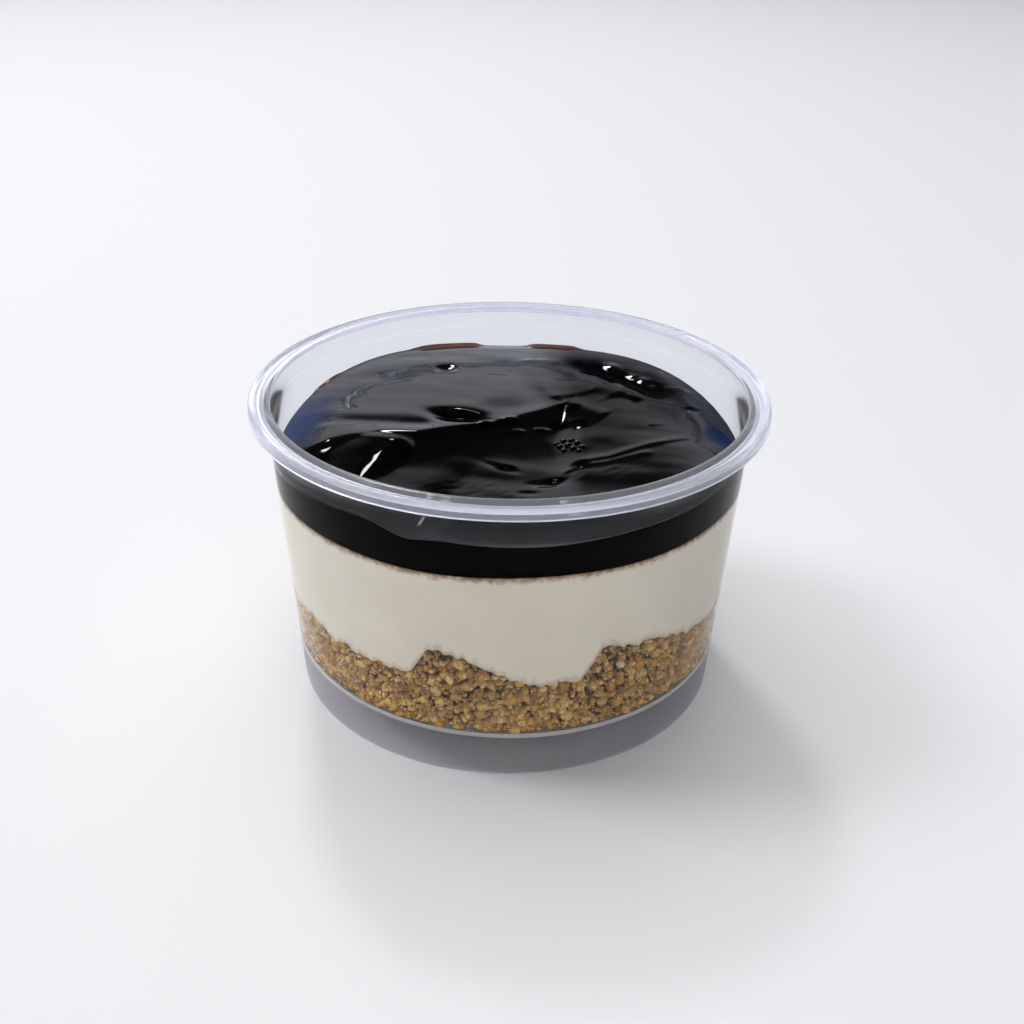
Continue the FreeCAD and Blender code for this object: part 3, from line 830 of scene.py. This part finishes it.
# %% Finish of the crumbs, and the crumbs
TONES = [(0.0, (0.32, 0.16, 0.045, 1)), (0.12, (0.50, 0.28, 0.085, 1)), (0.55, (0.64, 0.39, 0.13, 1)),
         (0.8, (0.73, 0.48, 0.19, 1)), (0.93, (0.80, 0.59, 0.30, 1)), (0.96, (0.56, 0.30, 0.07, 1)),
         (1.0, (0.48, 0.24, 0.05, 1))]
crumb, tree, shader = new_material("crumb")
shader.inputs["Roughness"].default_value = 0.75
shader.inputs["Specular IOR Level"].default_value = 0.25
ramp = tree.nodes.new("ShaderNodeValToRGB")
ramp.color_ramp.elements[0].color = TONES[0][1]
ramp.color_ramp.elements[1].color = TONES[-1][1]
for position, colour in TONES[1:-1]:
    ramp.color_ramp.elements.new(position).color = colour
tree.links.new(read_paint(tree, "tone"), ramp.inputs[0])
freckles = use_group(tree, mottle, Tint_B=(0.25, 0.15, 0.08, 1), Scale=1800.0, Low=0.55, High=0.75)
tree.links.new(ramp.outputs[0], freckles.inputs["Tint A"])
# Painted shade: crumbs turn dark brown the further they lie behind the wall, for the shaded gaps between them.
painted_crevice_shade = tinted(tree, ranged(tree, read_paint(tree, "depth"), 0.2, 1.5), freckles.outputs["Color"],
                 (0.20, 0.10, 0.03, 1))
tree.links.new(painted_crevice_shade, shader.inputs["Base Color"])
rind = use_group(tree, grain, Scale=3000.0, Coarse=0.4)
roughen(tree, shader, rind.outputs["Height"], 0.12 * MM)

crumb_cloud("crumbs_coarse", 560, 1.5, 2.5, 3, 6, 0.3)
crumb_cloud("crumbs_medium", 2400, 1.0, 1.7, 2, 5, 0.9)
crumb_cloud("crumbs_fine", 7500, 0.5, 1.0, 1, 7, 1.0)


# %% [markdown]
# ## Floor, surroundings and lamps
# What a glossy black sauce looks like depends on what it mirrors. The surroundings are a bright low band
# behind the cup that fades to a dim ceiling, and they are dim on the near side too. That studio is only for
# light and reflections: a view past the floor, or straight through the plastic, meets a pale backdrop. Three
# large lamps that do not show in reflections light the food, and one small bulb puts sharp glints on the wet
# ridges.

# %% Floor
floor_material, tree, shader = new_material("floor")
shader.inputs["Base Color"].default_value = (0.90, 0.902, 0.925, 1)
shader.inputs["Roughness"].default_value = 0.6
floor_mesh = bpy.data.meshes.new("floor")
floor_mesh.from_pydata([(-3, -3, 0), (3, -3, 0), (3, 3, 0), (-3, 3, 0)], [], [(0, 1, 2, 3)])
floor_mesh.materials.append(floor_material)
floor = bpy.data.objects.new("floor", floor_mesh)
bpy.context.scene.collection.objects.link(floor)

# %% Studio that the sauce mirrors
SKY = (0.91, 0.93, 1.0, 1)
SIDE_BLUE = (0.34, 0.46, 0.80, 1)       # low down at the left and right
world = bpy.data.worlds.new("studio")
bpy.context.scene.world = world
world.use_nodes = True
tree = world.node_tree
studio = tree.nodes["Background"]
direction = tree.nodes.new("ShaderNodeTexCoord")
parts = tree.nodes.new("ShaderNodeSeparateXYZ")
tree.links.new(direction.outputs["Generated"], parts.inputs[0])
low_sky = ranged(tree, parts.outputs["Z"], 0.05, 0.34)
sideness = ranged(tree, calculated(tree, "ABSOLUTE", parts.outputs["X"]), 0.25, 0.45)
blue = tinted(tree, low_sky, SIDE_BLUE, SKY)
tree.links.new(tinted(tree, sideness, SKY, blue), studio.inputs["Color"])
band = ranged(tree, parts.outputs["Z"], 0.41, 0.60, 0.88, 0.06)
backness = ranged(tree, parts.outputs["Y"], -0.1, 0.6, 0.08, 1.0)
tree.links.new(calculated(tree, "MULTIPLY", band, backness), studio.inputs["Strength"])

# %% Pale backdrop for straight looks
backdrop = tree.nodes.new("ShaderNodeBackground")
backdrop.inputs["Color"].default_value = (0.90, 0.905, 0.93, 1)
path = tree.nodes.new("ShaderNodeLightPath")
looked_at = calculated(tree, "MAXIMUM", path.outputs["Is Camera Ray"], path.outputs["Is Transmission Ray"])
bounces = calculated(tree, "ADD", path.outputs["Diffuse Depth"], path.outputs["Glossy Depth"])
straight = calculated(tree, "MULTIPLY", looked_at, calculated(tree, "LESS_THAN", bounces, 0.5))
either(tree, straight, studio, backdrop, "World Output")


# %% Lamps
def area_lamp(name, place, size, power, colour=(1, 1, 1), glossy=True):
    """An area lamp aimed at the middle of the cup."""
    lamp = bpy.data.lights.new(name, "AREA")
    lamp.shape = "RECTANGLE"
    lamp.size, lamp.size_y = size
    lamp.energy = power
    lamp.color = colour
    holder = bpy.data.objects.new(name, lamp)
    holder.location = place
    aim = Vector((0, 0, RIM_TOP / 2)) - Vector(place)
    holder.rotation_euler = aim.to_track_quat("-Z", "Y").to_euler()
    holder.visible_glossy = glossy
    bpy.context.scene.collection.objects.link(holder)


area_lamp("ceiling", (-0.2, 0.65, 1.9), (2.4, 2.4), 21, glossy=False)
area_lamp("key", (-1.1, 0.15, 1.1), (0.5, 0.5), 8.0, (0.98, 0.99, 1.0), glossy=False)
area_lamp("fill", (0.1, -1.1, 1.15), (1.4, 0.8), 7.2, (1.0, 0.98, 0.945), glossy=False)
area_lamp("bulb", (-0.30, 1.07, 1.19), (0.19, 0.19), 4.8)

# %% [markdown]
# ## The camera
# It stands about 20 cm in front of the cup and looks down into it, rolled by about one degree.

# %% Camera
CAMERA_BACK = 216.12 * MM
CAMERA_HEIGHT = 148.55 * MM
PITCH = 0.49870
YAW = 0.00360
ROLL = 0.01776
forward = Vector((math.sin(YAW) * math.cos(PITCH), math.cos(YAW) * math.cos(PITCH), -math.sin(PITCH)))
level_right = Vector((math.cos(YAW), -math.sin(YAW), 0))
level_up = level_right.cross(forward)
right = math.cos(ROLL) * level_right + math.sin(ROLL) * level_up
up = -math.sin(ROLL) * level_right + math.cos(ROLL) * level_up
camera = bpy.data.objects.new("camera", bpy.data.cameras.new("camera"))
camera.data.lens = 44.73
camera.data.sensor_width = 36
camera.data.clip_start = 0.01
facing = Matrix((right, up, -forward)).transposed().to_4x4()
camera.matrix_world = Matrix.Translation((0, -CAMERA_BACK, CAMERA_HEIGHT)) @ facing
bpy.context.scene.collection.objects.link(camera)
bpy.context.scene.camera = camera
bpy.context.scene.view_settings.view_transform = "Standard"
